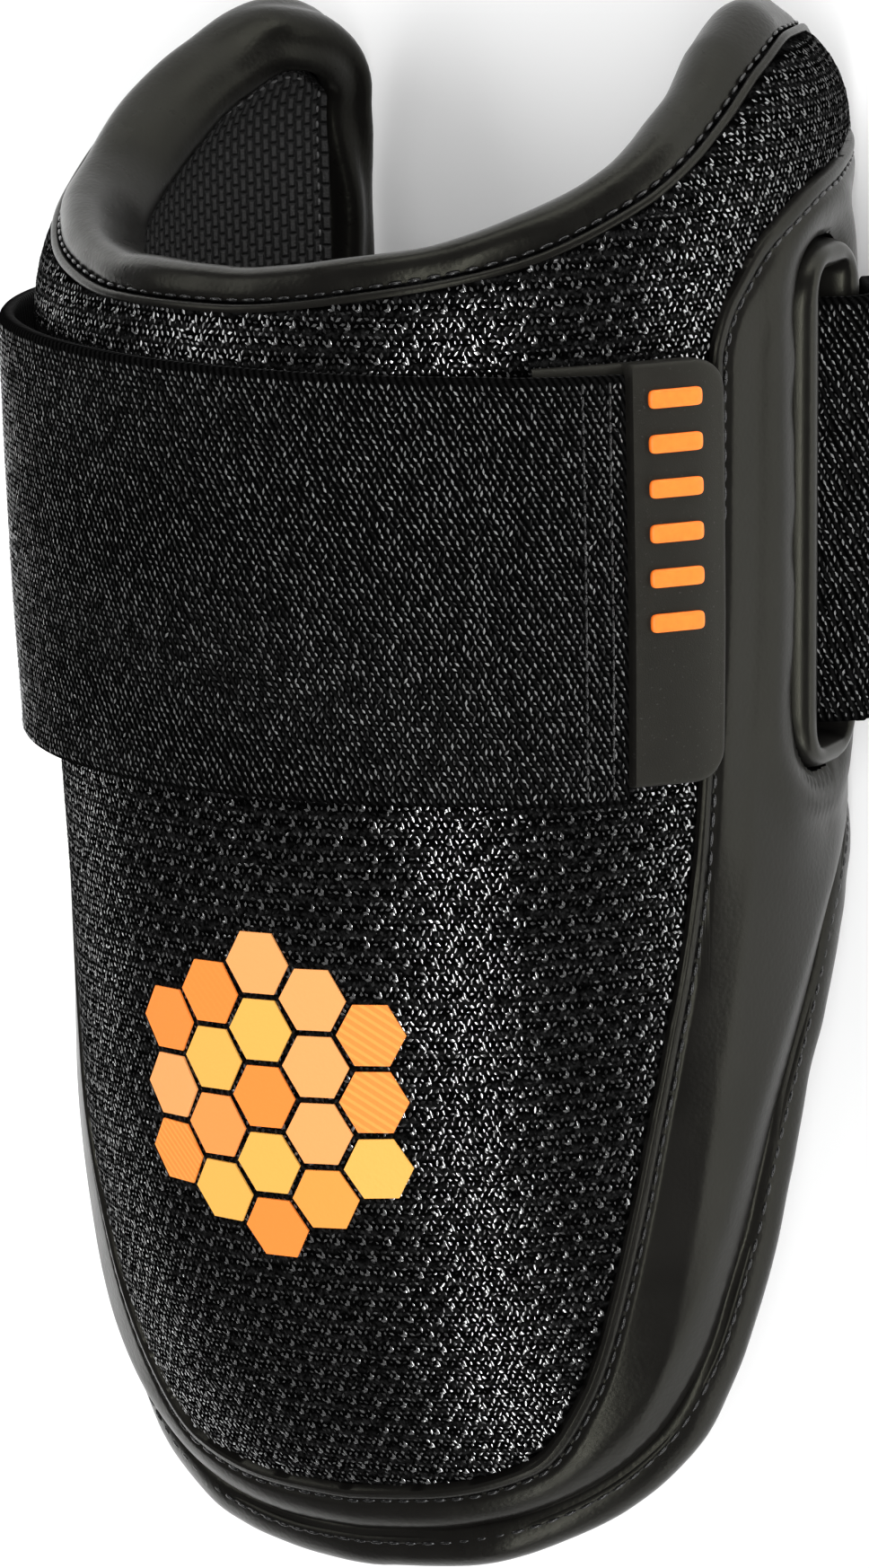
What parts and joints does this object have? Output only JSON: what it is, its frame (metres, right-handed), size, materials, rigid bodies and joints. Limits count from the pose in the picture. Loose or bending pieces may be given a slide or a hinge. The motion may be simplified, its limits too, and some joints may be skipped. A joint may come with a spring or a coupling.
{
  "type": "elbow guard",
  "caption": "Padded elbow guard with a knit front, leather border and edge roll, and a wide elastic strap that passes through a moulded slot and closes with a pull tab.",
  "frame": {"origin": "middle of the part's box, on the plane the strap's back stretch lies on", "axes": "+Y along the arm towards the upper-arm end, +Z out of the guard's front, +X towards the slot ring"},
  "size_m": [0.1289, 0.229, 0.1108],
  "materials": {
    "knit": "shiny ribbed knit",
    "leather": "matte",
    "waffle": "dull waffle knit",
    "moulded": "matte",
    "elastic": "twill weave"
  },
  "bodies": {
    "root": {"front_panel": "knit", "side_panel": "leather", "lining": "waffle", "edge_roll": "leather", "slot_ring": "moulded", "strap": "elastic", "pull_tab": "moulded"}
  },
  "joints": []
}
